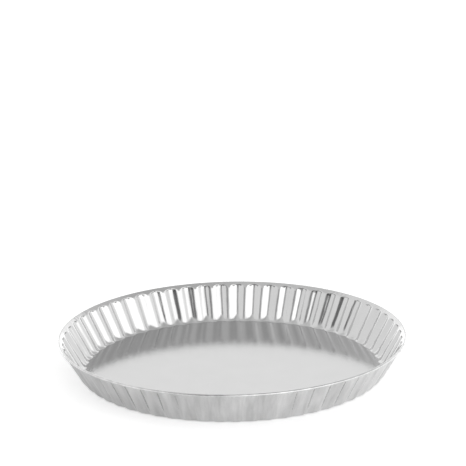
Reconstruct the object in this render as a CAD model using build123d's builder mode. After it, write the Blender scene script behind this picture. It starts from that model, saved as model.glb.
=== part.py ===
from build123d import *
import os
from math import acos, atan2, cos, degrees, radians, sin, tan

# Fluted quiche dish with a loose base, in millimetres.
# The origin is the centre of the foot plane, +Z points up through the open top.

# The whole dish
rim_diameter = 280.0
dish_height = 29.6
sheet = 0.5

# The rolled bead of the rim, and the cone that carries it
bead_diameter = 2.2
curl_gap = 0.2
rim_flare = 62.5
flare_drop = 2.7

# The flutes: lobes bulge outwards and are parted by ridges that face inwards
flute_count = 59
lobe_share = 0.45
depth_top = 2.7
depth_foot = 2.2
depth_floor = 1.4
hood_height = 1.1

# The foot, measured over the lobes where their line meets the floor
foot_diameter = 243.0
bend_inside = 4.0
bend_steps = 3
ledge_width = 6.5

# The loose base
base_sheet = 0.6
base_clearance = 0.4

# The bead is a curl of sheet whose end stops short of the cone
bead_radius = bead_diameter / 2
curl_radius = bead_radius - sheet
bead_across = rim_diameter / 2 - bead_radius
bead_up = dish_height - bead_radius
curl_start = 180 - rim_flare
curl_sweep = 360 - degrees(acos((curl_radius - curl_gap) / bead_radius))
cone_across = bead_across + curl_radius * cos(radians(curl_start))
cone_up = bead_up + curl_radius * sin(radians(curl_start))
cone_slope = tan(radians(rim_flare))

# The ridges' outside line runs from the cone's lower edge down to the floor
flare_foot = dish_height - flare_drop
flare_foot_radius = cone_across - (cone_up - flare_foot) * cone_slope
ridge_corner = foot_diameter / 2 - depth_foot
ridge_lean = degrees(atan2(flare_foot_radius - ridge_corner, flare_foot))
ridge_slope = tan(radians(ridge_lean))
hood_top = flare_foot + hood_height

# The bend between the ledge and the wall, round one centre
bend_outside = bend_inside + sheet
bend_turn = 90 - ridge_lean
bend_across = ridge_corner - bend_outside * tan(radians(bend_turn / 2))
bend_end = bend_outside * (1 - cos(radians(bend_turn)))

# How far the inside lies from the outside, measured across
wall_run = sheet / cos(radians(ridge_lean))
cone_run = sheet / cos(radians(rim_flare))
inside_corner = flare_foot + (cone_run - wall_run) / (cone_slope - ridge_slope)


def flute_depth(height):
    """Depth of a flute at a height below the cone."""
    if height <= bend_end:
        return depth_floor + (depth_foot - depth_floor) * height / bend_end
    return depth_foot + (depth_top - depth_foot) * (height - bend_end) / (flare_foot - bend_end)


def on_circle(angle, radius):
    """Point at an angle in degrees and a radius from the axis."""
    return Vector(radius * cos(radians(angle)), radius * sin(radians(angle)))


def flute_arcs(root, depth):
    """Three points for each arc of a closed scalloped outline round the axis."""
    crest = root + depth
    turn = lobe_share * 360 / flute_count / 2
    turn_radius = crest - depth * lobe_share
    arcs = []
    for lobe in range(flute_count):
        middle = lobe * 360 / flute_count
        after = (lobe + 1) * 360 / flute_count
        start = on_circle(middle - turn, turn_radius)
        end = on_circle(middle + turn, turn_radius)
        arcs.append((start, on_circle(middle, crest), end))
        arcs.append((end, on_circle((middle + after) / 2, root), on_circle(after - turn, turn_radius)))
    return arcs


# Height, ridge radius and flute depth of each section, outside and inside
outside_sections = []
inside_sections = []
for step in range(bend_steps + 1):
    turned = radians(bend_turn * step / bend_steps)
    rise = 1 - cos(turned)
    depth = flute_depth(bend_outside * rise)
    outside_sections.append((bend_outside * rise, bend_across + bend_outside * sin(turned), depth))
    inside_sections.append((sheet + bend_inside * rise, bend_across + bend_inside * sin(turned), depth))
outside_sections.append((flare_foot, flare_foot_radius, depth_top))
inside_wall = flare_foot_radius + (inside_corner - flare_foot) * ridge_slope - wall_run
inside_sections.append((inside_corner, inside_wall, depth_top))
hood_radius = cone_across - (cone_up - hood_top) * cone_slope
outside_sections.append((hood_top, hood_radius, 0))
inside_sections.append((hood_top, hood_radius - cone_run, 0))

# Fluted wall, outside: a ruled skin over the scalloped sections
with BuildPart() as wall_outside:
    for height, root, depth in outside_sections:
        with BuildSketch(Plane.XY.offset(height)):
            with BuildLine():
                for start, middle, end in flute_arcs(root, depth):
                    ThreePointArc(start, middle, end)
            make_face()
    loft(ruled=True)

# Fluted wall, inside: from the ledge up
with BuildPart() as wall_inside:
    for height, root, depth in inside_sections:
        with BuildSketch(Plane.XY.offset(height)):
            with BuildLine():
                for start, middle, end in flute_arcs(root, depth):
                    ThreePointArc(start, middle, end)
            make_face()
    loft(ruled=True)

with BuildPart() as fluted_ring:
    add(wall_outside.part)
    add(wall_inside.part, mode=Mode.SUBTRACT)
    # The ledge ends in a round hole
    with BuildSketch():
        Circle(bend_across - ledge_width)
    extrude(amount=sheet, mode=Mode.SUBTRACT)
    # Upper part of the cone and the rolled bead, one profile turned round the axis
    with BuildSketch(Plane.XZ):
        with BuildLine():
            bead_centre = (bead_across, bead_up)
            curl_outside = CenterArc(bead_centre, bead_radius, curl_start, -curl_sweep)
            curl_inside = CenterArc(bead_centre, curl_radius, curl_start, -curl_sweep)
            Line(curl_outside @ 1, curl_inside @ 1)
            cone_outside = Line(curl_inside @ 0, (hood_radius, hood_top))
            cone_inside = Line(curl_outside @ 0, (hood_radius - cone_run, hood_top))
            Line(cone_outside @ 1, cone_inside @ 1)
        make_face()
    revolve(axis=Axis.Z)
fluted_ring.part.label = "fluted_ring"

# The base is a plain disc on the ledge, just inside the ridges' bend
with BuildPart() as loose_base:
    with BuildSketch(Plane.XY.offset(sheet)):
        Circle(bend_across - base_clearance)
    extrude(amount=base_sheet)
loose_base.part.label = "loose_base"

os.makedirs("parts", exist_ok=True)
export_step(fluted_ring.part, "parts/fluted_ring.step")
export_step(loose_base.part, "parts/loose_base.step")
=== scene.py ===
import math

import bmesh
import bpy
from mathutils import Euler, Matrix, Vector


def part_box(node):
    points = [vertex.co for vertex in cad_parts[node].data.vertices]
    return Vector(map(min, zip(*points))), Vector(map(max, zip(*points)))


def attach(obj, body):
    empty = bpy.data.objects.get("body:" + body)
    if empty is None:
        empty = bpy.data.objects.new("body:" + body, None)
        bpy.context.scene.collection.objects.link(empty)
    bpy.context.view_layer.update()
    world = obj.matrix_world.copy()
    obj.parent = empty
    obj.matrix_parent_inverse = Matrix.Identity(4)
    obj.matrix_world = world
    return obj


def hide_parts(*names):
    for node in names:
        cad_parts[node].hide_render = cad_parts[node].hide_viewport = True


bl_info = {
    "name": "Fluted quiche dish",
    "version": (1, 0, 0),
    "blender": (4, 5, 0),
    "location": "3D View > Sidebar > Quiche dish",
    "description": "Makes a fluted tinplate quiche dish with a loose base, and its studio",
    "category": "Add Mesh",
}

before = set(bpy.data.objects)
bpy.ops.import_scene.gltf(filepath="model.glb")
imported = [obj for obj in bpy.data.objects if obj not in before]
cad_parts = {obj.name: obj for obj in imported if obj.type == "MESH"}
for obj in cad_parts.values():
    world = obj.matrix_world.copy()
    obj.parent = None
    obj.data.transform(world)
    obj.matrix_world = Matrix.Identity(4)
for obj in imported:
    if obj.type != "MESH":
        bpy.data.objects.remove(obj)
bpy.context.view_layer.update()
RING_HIGH = Vector(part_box("fluted_ring")[1])
BASE_LOW, BASE_HIGH = (Vector(corner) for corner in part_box("loose_base"))
MM = 0.001

# How finely the meshes are cut: rows or cuts along the ring's profile, and columns round the axis
BEND_ROWS = 8
WALL_CUTS = 14
CONE_CUTS = 10
CURL_ROWS = 16
FLUTE_COLUMNS = 16
BASE_COLUMNS = 360
SHARP_ANGLE = math.radians(50)

# Where the wall's marks lie: an angle times this radius runs round the wall, and this share of the
# height runs up it, so that the marks are drawn out upwards
WALL_RADIUS = 0.13
UP_SHARE = 0.2
# A measure that is above 0 only on the outside of the wall is multiplied by this, and so soon reaches 1
OUTSIDE_GAIN = 20.0

# Noises of the tinplate, from coarse to fine, and the middle value that is taken off them
HAZE = {"Scale": 45.0, "Detail": 3.0}
SMEAR = {"Scale": 130.0, "Detail": 2.5, "Roughness": 0.6}
STREAK = {"Scale": 480.0, "Detail": 3.0, "Roughness": 0.6}
SPECKLE = {"Scale": 900.0, "Detail": 1.0}
GRAIN = {"Scale": 2400.0, "Detail": 1.0}
MIDDLE = 0.5

# How much each noise shows in the tone, in the roughness and in the bump, and the share of the marks
# that shows on the wall's inside
SMEAR_TONE = 0.5
STREAK_TONE = 0.14
HAZE_TONE = 0.05
SPECKLE_TONE = 0.05
INSIDE_SHARE = 0.15
HAZE_ROUGHNESS = 0.05
OUTSIDE_ROUGHNESS = 0.08
GRAIN_ROUGHNESS = 0.03
STREAK_BUMP = 0.2
SMEAR_BUMP = 0.8
GRAIN_BUMP = 0.04
BUMP_HEIGHT = 0.4 * MM

# Painted reflection: the floor glows for glossy rays only, so the metal mirrors a light that no lamp
# gives. The glow rises from left to right near the dish, and grows with the distance from it
FLOOR_SIZE = 6
PAINTED_SHEEN_EDGE = (-0.15, 0.15)
PAINTED_SHEEN_LEVELS = (0.15, 0.38)
PAINTED_FAR_EDGE = (0.17, 0.4)
PAINTED_FAR_LEVELS = (0.0, 0.8)

# The light round the dish is made of soft steps. An edge says where a step begins and ends, and levels
# say what it goes from and to. Edges are degrees round from the camera's side to the right, degrees up,
# or the share of a direction that points right or back.
RISE = (0.0, 1.0)
FADE = (1.0, 0.0)
WALL_EDGE = (-1, 0.9)
WALL_LEVELS = (0.96, 1.04)
WALL_TOP = (28, 40)
WALL_TOP_TILT = 6
CEILING_EDGE = (-0.6, 0.05)
CEILING_LEVELS = (0.93, 0.69)
CEILING_SKEW = 0.3
DOME_EDGE = (-0.3, 0.3)
DOME_LEVELS = (0.73, 0.57)
DOME_FOOT = (48, 58)
# A window in the walls: its left edge, its right edge, its top edge and its strength
SOFTBOX = ((-12, 14), (56, 100), (42, 50), 0.75)
SOFTBOX_FOOT = (8, 24)
SOFTBOX_FOOT_LEVELS = (0.35, 1)
DARK_GAP = ((-46, -28), (-14, 0), (32, 48), 0.85)
LOW_GAP = ((-30, -16), (2, 12), (22, 30), 0.5)
# Brighter parts behind the dish: one at each side, and one low along the back
WING_SIDES = (0.14, 0.3)
WING_BACK = (0.45, 0.7)
WING_TOP = (26, 42)
WING_GAIN = 0.2
SWEEP_BACK = (0.6, 0.85)
SWEEP_TOP = (9, 16)
SWEEP_GAIN = 0.5

SENSOR_WIDTH = 36
CAMERA_REACH = 50


class DishSizes(bpy.types.PropertyGroup):
    """Sizes of the dish; the outer ones come from the frame."""

    rim_radius: bpy.props.FloatProperty(
        name="Rim radius", description="Outer radius of the rolled bead",
        default=RING_HIGH.x, unit="LENGTH")
    height: bpy.props.FloatProperty(
        name="Height", description="From the foot to the top of the bead",
        default=RING_HIGH.z, unit="LENGTH")
    sheet: bpy.props.FloatProperty(
        name="Sheet", description="Thickness of the ring's sheet",
        default=0.5 * MM, unit="LENGTH")
    bead: bpy.props.FloatProperty(
        name="Bead", description="Diameter of the rolled bead",
        default=2.2 * MM, unit="LENGTH")
    curl_turn: bpy.props.FloatProperty(
        name="Curl turn", description="How far the sheet turns round in the bead",
        default=math.radians(300), subtype="ANGLE")
    flare: bpy.props.FloatProperty(
        name="Flare", description="Lean of the rim's cone away from upright",
        default=math.radians(55), subtype="ANGLE")
    flare_drop: bpy.props.FloatProperty(
        name="Flare drop", description="From the top of the bead down to the cone's lower edge",
        default=2.7 * MM, unit="LENGTH")
    hood_drop: bpy.props.FloatProperty(
        name="Hood drop", description="From the top of the bead down to where a lobe begins to close",
        default=3.0 * MM, unit="LENGTH")
    hood_height: bpy.props.FloatProperty(
        name="Hood height", description="Height over which a lobe's top closes against the cone",
        default=2.0 * MM, unit="LENGTH")
    foot_radius: bpy.props.FloatProperty(
        name="Foot radius", description="Outer radius at a lobe's middle where its line meets the floor",
        default=122.2 * MM, unit="LENGTH")
    foot_bend: bpy.props.FloatProperty(
        name="Foot bend", description="Inside radius of the bend from the ledge to the wall",
        default=3 * MM, unit="LENGTH")
    ledge: bpy.props.FloatProperty(
        name="Ledge", description="Width of the flat ledge inside the bend",
        default=6.5 * MM, unit="LENGTH")
    flutes: bpy.props.IntProperty(
        name="Flutes", description="Number of flutes round the wall", default=59)
    lobe_share: bpy.props.FloatProperty(
        name="Lobe share", description="Share of a flute's width that bulges outwards",
        default=0.45, subtype="FACTOR")
    depth_top: bpy.props.FloatProperty(
        name="Depth at the top", description="Depth of a flute below the rim's cone",
        default=2.7 * MM, unit="LENGTH")
    depth_foot: bpy.props.FloatProperty(
        name="Depth at the foot", description="Depth of a flute at the foot",
        default=2.2 * MM, unit="LENGTH")
    floor_share: bpy.props.FloatProperty(
        name="Floor share", description="Share of a flute's depth that is left where the bend starts",
        default=0.45, subtype="FACTOR")


class DishFinish(bpy.types.PropertyGroup):
    """Grey and gloss of the tinplate."""

    tin_grey: bpy.props.FloatProperty(
        name="Tin grey", description="Grey level of the tinplate",
        default=0.66, subtype="FACTOR")
    ring_roughness: bpy.props.FloatProperty(
        name="Ring roughness", description="Roughness of the ring's bright sheet",
        default=0.07, subtype="FACTOR")
    base_roughness: bpy.props.FloatProperty(
        name="Base roughness", description="Roughness of the base's sheet",
        default=0.1, subtype="FACTOR")
    ring_marks: bpy.props.FloatProperty(
        name="Ring marks", description="Strength of the ring's rolling marks and dents",
        default=1.0, subtype="FACTOR")


class StudioSetup(bpy.types.PropertyGroup):
    """Where the camera stands, and how pale the floor is."""

    turn: bpy.props.FloatProperty(
        name="Turn", description="Turn of the camera and the light about the dish's axis",
        default=math.radians(-2.576), subtype="ANGLE")
    camera_place: bpy.props.FloatVectorProperty(
        name="Camera place", description="Camera's place before the turn",
        default=(0.0021, -1.96, 0.7032), subtype="TRANSLATION")
    camera_pitch: bpy.props.FloatProperty(
        name="Camera pitch", description="How far the camera looks down",
        default=math.radians(16.716), subtype="ANGLE")
    camera_roll: bpy.props.FloatProperty(
        name="Camera roll", description="Roll of the camera about its line of sight",
        default=math.radians(-0.96), subtype="ANGLE")
    focal_length: bpy.props.FloatProperty(
        name="Focal length", description="On a 36 mm wide sensor, in millimetres",
        default=199.16, subtype="NONE")
    floor_grey: bpy.props.FloatProperty(
        name="Floor grey", description="Grey level of the floor",
        default=0.84, subtype="FACTOR")
    floor_glow: bpy.props.FloatProperty(
        name="Floor glow", description="What the floor adds for the camera, so that it shows white",
        default=0.46, subtype="FACTOR")


class Flow:
    """A socket in a shader tree. Arithmetic on it adds Math nodes."""

    def __init__(self, tree, socket=None):
        self.tree = tree
        self.socket = socket

    def node(self, kind, settings=None, values=None, out=0):
        """Any other node: its settings first, then its sockets' values or links."""
        node = self.tree.nodes.new(kind)
        for name, value in (settings or {}).items():
            setattr(node, name, value)
        for name, value in (values or {}).items():
            if isinstance(value, Flow):
                self.tree.links.new(value.socket, node.inputs[name])
            else:
                node.inputs[name].default_value = value
        return Flow(self.tree, node.outputs[out] if node.outputs else None)

    def math(self, operation, *numbers):
        return self.node("ShaderNodeMath", {"operation": operation}, dict(enumerate(numbers)))

    def axis(self, name):
        """One of the three numbers of a vector."""
        return self.node("ShaderNodeSeparateXYZ", {}, {"Vector": self}, out=name)

    def step(self, edge, levels=RISE, kind="LINEAR"):
        """This value carried from an edge's begin and end to two levels, and held outside them."""
        names = ("Value", "From Min", "From Max", "To Min", "To Max")
        values = dict(zip(names, (self, *edge, *levels)))
        return self.node("ShaderNodeMapRange", {"interpolation_type": kind}, values)

    def __add__(self, other):
        return self.math("ADD", self, other)

    __radd__ = __add__

    def __mul__(self, other):
        return self.math("MULTIPLY", self, other)

    __rmul__ = __mul__

    def __sub__(self, other):
        return self.math("SUBTRACT", self, other)

    def __rsub__(self, other):
        return self.math("SUBTRACT", other, self)


def new_material(name):
    """An empty node material and its Flow."""
    material = bpy.data.materials.new(name)
    material.use_nodes = True
    material.node_tree.nodes.clear()
    return material, Flow(material.node_tree)


def tinplate(name, grey, roughness, marks):
    """Tinplate with faint haze and speckle, and on the wall rolling streaks, smears and soft dents."""
    material, tin = new_material(name)
    coords = tin.node("ShaderNodeTexCoord", out="Object")
    east = coords.axis("X")
    north = coords.axis("Y")
    up = coords.axis("Z")
    round_about = tin.math("ARCTAN2", north, east)
    # one coordinate runs round the wall, the other up it, so marks can be drawn out upwards
    wall = tin.node("ShaderNodeCombineXYZ", {}, {"X": round_about * WALL_RADIUS, "Z": up * UP_SHARE})

    def noise(vector, look):
        return tin.node("ShaderNodeTexNoise", {}, {"Vector": vector, **look})

    streak = noise(wall, STREAK)
    smear = noise(wall, SMEAR)
    haze = noise(coords, HAZE)
    grain = noise(coords, GRAIN)
    speckle = noise(coords, SPECKLE)
    facing = tin.node("ShaderNodeNewGeometry", out="Normal")
    outwards = (facing.axis("X") * east + facing.axis("Y") * north) * OUTSIDE_GAIN
    outside = outwards.step(RISE)
    wear = (smear - MIDDLE) * SMEAR_TONE + (streak - MIDDLE) * STREAK_TONE
    wear = wear * (INSIDE_SHARE + outside * (1 - INSIDE_SHARE)) * marks
    tone = grey + (haze - MIDDLE) * HAZE_TONE + (speckle - MIDDLE) * SPECKLE_TONE + wear
    shade = tin.node("ShaderNodeCombineColor", {}, {"Red": tone, "Green": tone, "Blue": tone})
    rough = roughness + (haze - MIDDLE) * HAZE_ROUGHNESS + outside * marks * OUTSIDE_ROUGHNESS
    rough = rough + (grain - MIDDLE) * GRAIN_ROUGHNESS
    height = (streak * STREAK_BUMP + smear * SMEAR_BUMP) * marks + grain * GRAIN_BUMP
    bump = tin.node(
        "ShaderNodeBump", {}, {"Strength": 1.0, "Distance": BUMP_HEIGHT, "Height": height}, out="Normal")
    surface = tin.node("ShaderNodeBsdfPrincipled", {}, {
        "Base Color": shade, "Metallic": 1.0, "Roughness": rough, "Normal": bump})
    tin.node("ShaderNodeOutputMaterial", {}, {"Surface": surface})
    return material


def finish_piece(mesh, name, material, body, node):
    """Link a finished bmesh as an object that replaces a node and rides on its body."""
    data = bpy.data.meshes.new(name)
    mesh.to_mesh(data)
    mesh.free()
    piece = bpy.data.objects.new(name, data)
    bpy.context.scene.collection.objects.link(piece)
    data.materials.append(material)
    data.shade_smooth()
    data.set_sharp_from_angle(angle=SHARP_ANGLE)
    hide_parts(node)
    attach(piece, body)


def spin(sheet, geom, centre, axis, angle, steps, close=False):
    """Sweep geometry round an axis; a full turn closes on itself."""
    bmesh.ops.spin(
        sheet, geom=geom, cent=centre, axis=axis, dvec=(0, 0, 0), angle=angle, space=Matrix(),
        steps=steps, use_merge=close, use_normal_flip=False, use_duplicate=False)


def flute_wave(turns, share):
    """The wave across a flute, highest at a lobe's middle and 0 at a ridge's, as two joined parabolas."""
    place = abs((turns + 0.5) % 1 - 0.5)
    if place < share / 2:
        return 1 - share * (2 * place / share) ** 2
    return (1 - share) * ((1 - 2 * place) / (1 - share)) ** 2


def ease(value):
    """Smooth step from 0 to 1."""
    value = min(max(value, 0), 1)
    return value * value * (3 - 2 * value)


class DISH_OT_ring(bpy.types.Operator):
    """Make the fluted ring: ledge, fluted wall, flared cone and rolled bead in one sheet"""

    bl_idname = "dish.ring"
    bl_label = "Fluted ring"

    def execute(self, context):
        sizes = context.scene.dish_sizes
        finish = context.scene.dish_finish
        half = sizes.sheet / 2
        bead_radius = sizes.bead / 2
        centre = Vector((sizes.rim_radius - bead_radius, 0, sizes.height - bead_radius))
        start = Euler((0, sizes.flare - math.pi, 0)).to_matrix() @ Vector((bead_radius - half, 0, 0))
        cone_top = centre + start
        flare_foot = Vector((
            cone_top.x - (cone_top.z - sizes.height + sizes.flare_drop) * math.tan(sizes.flare),
            0, sizes.height - sizes.flare_drop))
        # the ridges' line runs from the cone down to the ledge's level
        corner = Vector((sizes.foot_radius - half - sizes.depth_foot, 0, half))
        lean = math.atan2(flare_foot.x - corner.x, flare_foot.z - corner.z)
        bend = sizes.foot_bend + half
        bend_turn = math.pi / 2 - lean
        bend_start = corner.x - bend * math.tan(bend_turn / 2)
        bend_centre = Vector((bend_start, 0, half + bend))
        ledge_edge = bend_start - sizes.ledge

        # the profile: ledge, bend, wall, cone and curl
        sheet = bmesh.new()
        edge = sheet.verts.new((ledge_edge, 0, half))
        inner = sheet.verts.new((bend_start, 0, half))
        sheet.edges.new((edge, inner))
        spin(sheet, [inner], bend_centre, (0, -1, 0), bend_turn, BEND_ROWS)
        bend_end = max(sheet.verts, key=lambda vert: vert.co.z)
        flare_low = sheet.verts.new(flare_foot)
        flare_high = sheet.verts.new(cone_top)
        wall = sheet.edges.new((bend_end, flare_low))
        flare = sheet.edges.new((flare_low, flare_high))
        bmesh.ops.subdivide_edges(sheet, edges=[wall], cuts=WALL_CUTS)
        bmesh.ops.subdivide_edges(sheet, edges=[flare], cuts=CONE_CUTS)
        top = max(sheet.verts, key=lambda vert: vert.co.z)
        spin(sheet, [top], centre, (0, 1, 0), sizes.curl_turn, CURL_ROWS)
        profile = sheet.verts[:] + sheet.edges[:]
        spin(sheet, profile, (0, 0, 0), (0, 0, 1), math.tau, sizes.flutes * FLUTE_COLUMNS, close=True)
        bmesh.ops.recalc_face_normals(sheet, faces=sheet.faces[:])

        # below the cone the lobes stand out from the ridges' line, and run on up to meet the cone
        hood_low = sizes.height - sizes.hood_drop
        for vert in sheet.verts:
            reach = vert.co.xy.length
            above = vert.co.z - flare_foot.z
            on_bead = above > 0 and reach > flare_foot.x + above * math.tan(sizes.flare) + half
            if on_bead or reach < bend_start - half:
                continue
            ridge = reach if above < 0 else flare_foot.x + above * math.tan(lean)
            climb = min(vert.co.z / flare_foot.z, 1)
            depth = sizes.depth_foot + (sizes.depth_top - sizes.depth_foot) * climb
            depth *= 1 - ease((vert.co.z - hood_low) / sizes.hood_height)
            depth *= sizes.floor_share + (1 - sizes.floor_share) * ease(vert.co.z / bend)
            turns = math.atan2(vert.co.y, vert.co.x) / math.tau * sizes.flutes
            lobe = ridge + depth * flute_wave(turns, sizes.lobe_share)
            vert.co.xy *= max(reach, lobe) / reach

        # the surface moves outwards by half the sheet, and the sheet's thickness then goes inwards
        sheet.normal_update()
        moves = [vert.normal * half for vert in sheet.verts]
        for vert, move in zip(sheet.verts, moves):
            vert.co += move
        bmesh.ops.solidify(sheet, geom=sheet.faces[:], thickness=sizes.sheet)
        metal = tinplate("bright_tinplate", finish.tin_grey, finish.ring_roughness, finish.ring_marks)
        finish_piece(sheet, "fluted_wall_sheet", metal, "dish", "fluted_ring")
        return {"FINISHED"}


class DISH_OT_base(bpy.types.Operator):
    """Make the loose base: a flat round sheet on the ring's ledge"""

    bl_idname = "dish.base"
    bl_label = "Loose base"

    def execute(self, context):
        finish = context.scene.dish_finish
        thick = BASE_HIGH.z - BASE_LOW.z
        disc = bmesh.new()
        bmesh.ops.create_circle(
            disc, cap_ends=True, cap_tris=False, segments=BASE_COLUMNS, radius=BASE_HIGH.x)
        bmesh.ops.translate(disc, vec=(0, 0, BASE_LOW.z), verts=disc.verts[:])
        lift = bmesh.ops.extrude_face_region(disc, geom=disc.faces[:])
        top = [item for item in lift["geom"] if isinstance(item, bmesh.types.BMVert)]
        bmesh.ops.translate(disc, vec=(0, 0, thick), verts=top)
        bmesh.ops.recalc_face_normals(disc, faces=disc.faces[:])
        metal = tinplate("satin_tinplate", finish.tin_grey, finish.base_roughness, marks=0.0)
        finish_piece(disc, "base_sheet", metal, "base", "loose_base")
        return {"FINISHED"}


def pale_paper(setup):
    """The floor's plain paper, which shows white to the camera, and a painted reflection: a glow that
    only the metal's reflections see.
    """
    material, paper = new_material("pale_paper")
    path = paper.node("ShaderNodeLightPath", out="Is Camera Ray")
    glossy = paper.node("ShaderNodeLightPath", out="Is Glossy Ray")
    grey = setup.floor_grey
    diffuse = paper.node("ShaderNodeBsdfDiffuse", {}, {"Color": (grey, grey, grey, 1)})
    place = paper.node("ShaderNodeTexCoord", out="Object")
    # painted reflection: the glow seen in the metal rises from left to right near the dish
    painted_sheen = place.axis("X").step(PAINTED_SHEEN_EDGE, PAINTED_SHEEN_LEVELS)
    distance = paper.node("ShaderNodeVectorMath", {"operation": "LENGTH"}, {0: place}, out="Value")
    # painted reflection: more glow in the metal further from the dish
    away = distance.step(PAINTED_FAR_EDGE, PAINTED_FAR_LEVELS)
    # the camera sees the even floor glow; glossy rays see the painted reflection instead
    strength = path * setup.floor_glow + glossy * (painted_sheen + away)
    glow = paper.node("ShaderNodeEmission", {}, {"Strength": strength})
    both = paper.node("ShaderNodeAddShader", {}, {0: diffuse, 1: glow})
    paper.node("ShaderNodeOutputMaterial", {}, {"Surface": both})
    return material


def studio_light(setup):
    """The soft light round the dish, whose shapes the tinplate mirrors."""
    world = bpy.data.worlds.new("studio")
    world.use_nodes = True
    world.node_tree.nodes.clear()
    sky = Flow(world.node_tree)
    way = sky.node("ShaderNodeTexCoord", out="Generated")
    way = sky.node(
        "ShaderNodeVectorRotate", {"rotation_type": "Z_AXIS"}, {"Vector": way, "Angle": -setup.turn})
    right = way.axis("X")
    back = way.axis("Y")
    across = sky.math("DEGREES", sky.math("ARCTAN2", right, 0 - back))
    above = sky.math("DEGREES", sky.math("ARCSINE", way.axis("Z")))

    def step(value, edge, levels=RISE):
        return value.step(edge, levels, "SMOOTHSTEP")

    def window(left_edge, right_edge, top_edge, strength):
        inside = step(across, left_edge) * step(across, right_edge, FADE) * step(above, top_edge, FADE)
        return inside * strength

    ceiling = step(right - back * CEILING_SKEW, CEILING_EDGE, CEILING_LEVELS)
    walls = step(right, WALL_EDGE, WALL_LEVELS)
    room = walls + (ceiling - walls) * step(above + back * WALL_TOP_TILT, WALL_TOP)
    softbox = window(*SOFTBOX) * step(above, SOFTBOX_FOOT, SOFTBOX_FOOT_LEVELS)
    wings = step(sky.math("ABSOLUTE", right), WING_SIDES) * step(back, WING_BACK)
    wings = wings * step(above, WING_TOP, FADE)
    sweep = step(back, SWEEP_BACK) * step(above, SWEEP_TOP, FADE)
    side = room + softbox + sweep * SWEEP_GAIN + wings * WING_GAIN
    side = side * (1 - window(*DARK_GAP)) * (1 - window(*LOW_GAP))
    dome = step(right, DOME_EDGE, DOME_LEVELS)
    light = side + (dome - side) * step(above, DOME_FOOT)
    background = sky.node("ShaderNodeBackground", {}, {"Color": (1, 1, 1, 1), "Strength": light})
    sky.node("ShaderNodeOutputWorld", {}, {"Surface": background})
    return world


class DISH_OT_stage(bpy.types.Operator):
    """Set up the floor, the light round the dish and the camera"""

    bl_idname = "dish.stage"
    bl_label = "Stage"

    def execute(self, context):
        scene = context.scene
        setup = scene.studio_setup

        floor = bmesh.new()
        bmesh.ops.create_grid(floor, x_segments=1, y_segments=1, size=FLOOR_SIZE)
        data = bpy.data.meshes.new("studio_floor")
        floor.to_mesh(data)
        floor.free()
        stand = bpy.data.objects.new("studio_floor", data)
        scene.collection.objects.link(stand)
        data.materials.append(pale_paper(setup))

        scene.world = studio_light(setup)

        lens = bpy.data.cameras.new("camera")
        lens.lens = setup.focal_length
        lens.sensor_width = SENSOR_WIDTH
        lens.clip_end = CAMERA_REACH
        camera = bpy.data.objects.new("camera", lens)
        turn = Matrix.Rotation(setup.turn, 4, "Z")
        aim = Euler((math.pi / 2 - setup.camera_pitch, 0, 0)).to_matrix().to_4x4()
        roll = Matrix.Rotation(setup.camera_roll, 4, "Z")
        camera.matrix_world = turn @ Matrix.Translation(setup.camera_place) @ aim @ roll
        scene.collection.objects.link(camera)
        scene.camera = camera
        scene.view_settings.view_transform = "Standard"
        return {"FINISHED"}


class DISH_PT_panel(bpy.types.Panel):
    """Sizes, finish and setup, and the buttons that make the dish and its stage"""

    bl_idname = "DISH_PT_panel"
    bl_label = "Quiche dish"
    bl_space_type = "VIEW_3D"
    bl_region_type = "UI"
    bl_category = "Quiche dish"

    def draw(self, context):
        scene = context.scene
        for group in (scene.dish_sizes, scene.dish_finish, scene.studio_setup):
            for name in group.__annotations__:
                self.layout.prop(group, name)
        for operator in ("dish.ring", "dish.base", "dish.stage"):
            self.layout.operator(operator)


CLASSES = (DishSizes, DishFinish, StudioSetup, DISH_OT_ring, DISH_OT_base, DISH_OT_stage, DISH_PT_panel)


def register():
    for item in CLASSES:
        bpy.utils.register_class(item)
    bpy.types.Scene.dish_sizes = bpy.props.PointerProperty(type=DishSizes)
    bpy.types.Scene.dish_finish = bpy.props.PointerProperty(type=DishFinish)
    bpy.types.Scene.studio_setup = bpy.props.PointerProperty(type=StudioSetup)


def unregister():
    del bpy.types.Scene.studio_setup
    del bpy.types.Scene.dish_finish
    del bpy.types.Scene.dish_sizes
    for item in reversed(CLASSES):
        bpy.utils.unregister_class(item)


def main():
    register()
    bpy.ops.dish.ring()
    bpy.ops.dish.base()
    bpy.ops.dish.stage()


if __name__ == "__main__":
    main()
